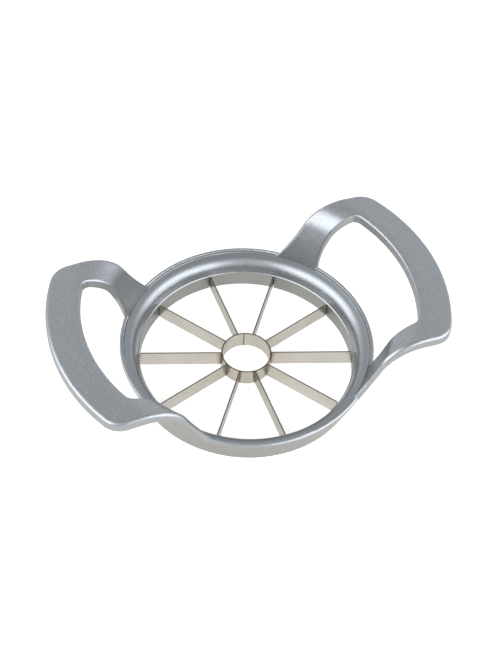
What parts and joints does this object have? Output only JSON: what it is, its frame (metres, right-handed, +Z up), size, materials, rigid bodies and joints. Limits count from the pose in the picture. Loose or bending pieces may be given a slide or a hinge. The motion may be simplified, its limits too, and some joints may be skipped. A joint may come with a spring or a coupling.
{
  "type": "apple slicer",
  "caption": "Hand-held apple slicer: a cast aluminium ring with a raised loop handle on each side and thin steel blades that run like spokes to a small core ring.",
  "frame": {"origin": "centre of the ring, on the plane that its foot stands on", "axes": "+X through the middle of both handles, +Y across the handles, +Z up, from the cutting edges to the grips"},
  "size_m": [0.17, 0.11, 0.043],
  "materials": {
    "cast_coat": "satin silver coat with a fine metallic grain; bore machined",
    "core_steel": "rolled strip, butt seam, heat tint at the welds",
    "blade_steel": "semi-polished rolled strip with a ground lower edge"
  },
  "bodies": {
    "root": {"frame": "cast_coat", "core_ring": "core_steel", "blade_01": "blade_steel", "blade_02": "blade_steel", "blade_03": "blade_steel", "blade_04": "blade_steel", "blade_05": "blade_steel", "blade_06": "blade_steel", "blade_07": "blade_steel", "blade_08": "blade_steel", "blade_09": "blade_steel", "blade_10": "blade_steel"}
  },
  "joints": []
}
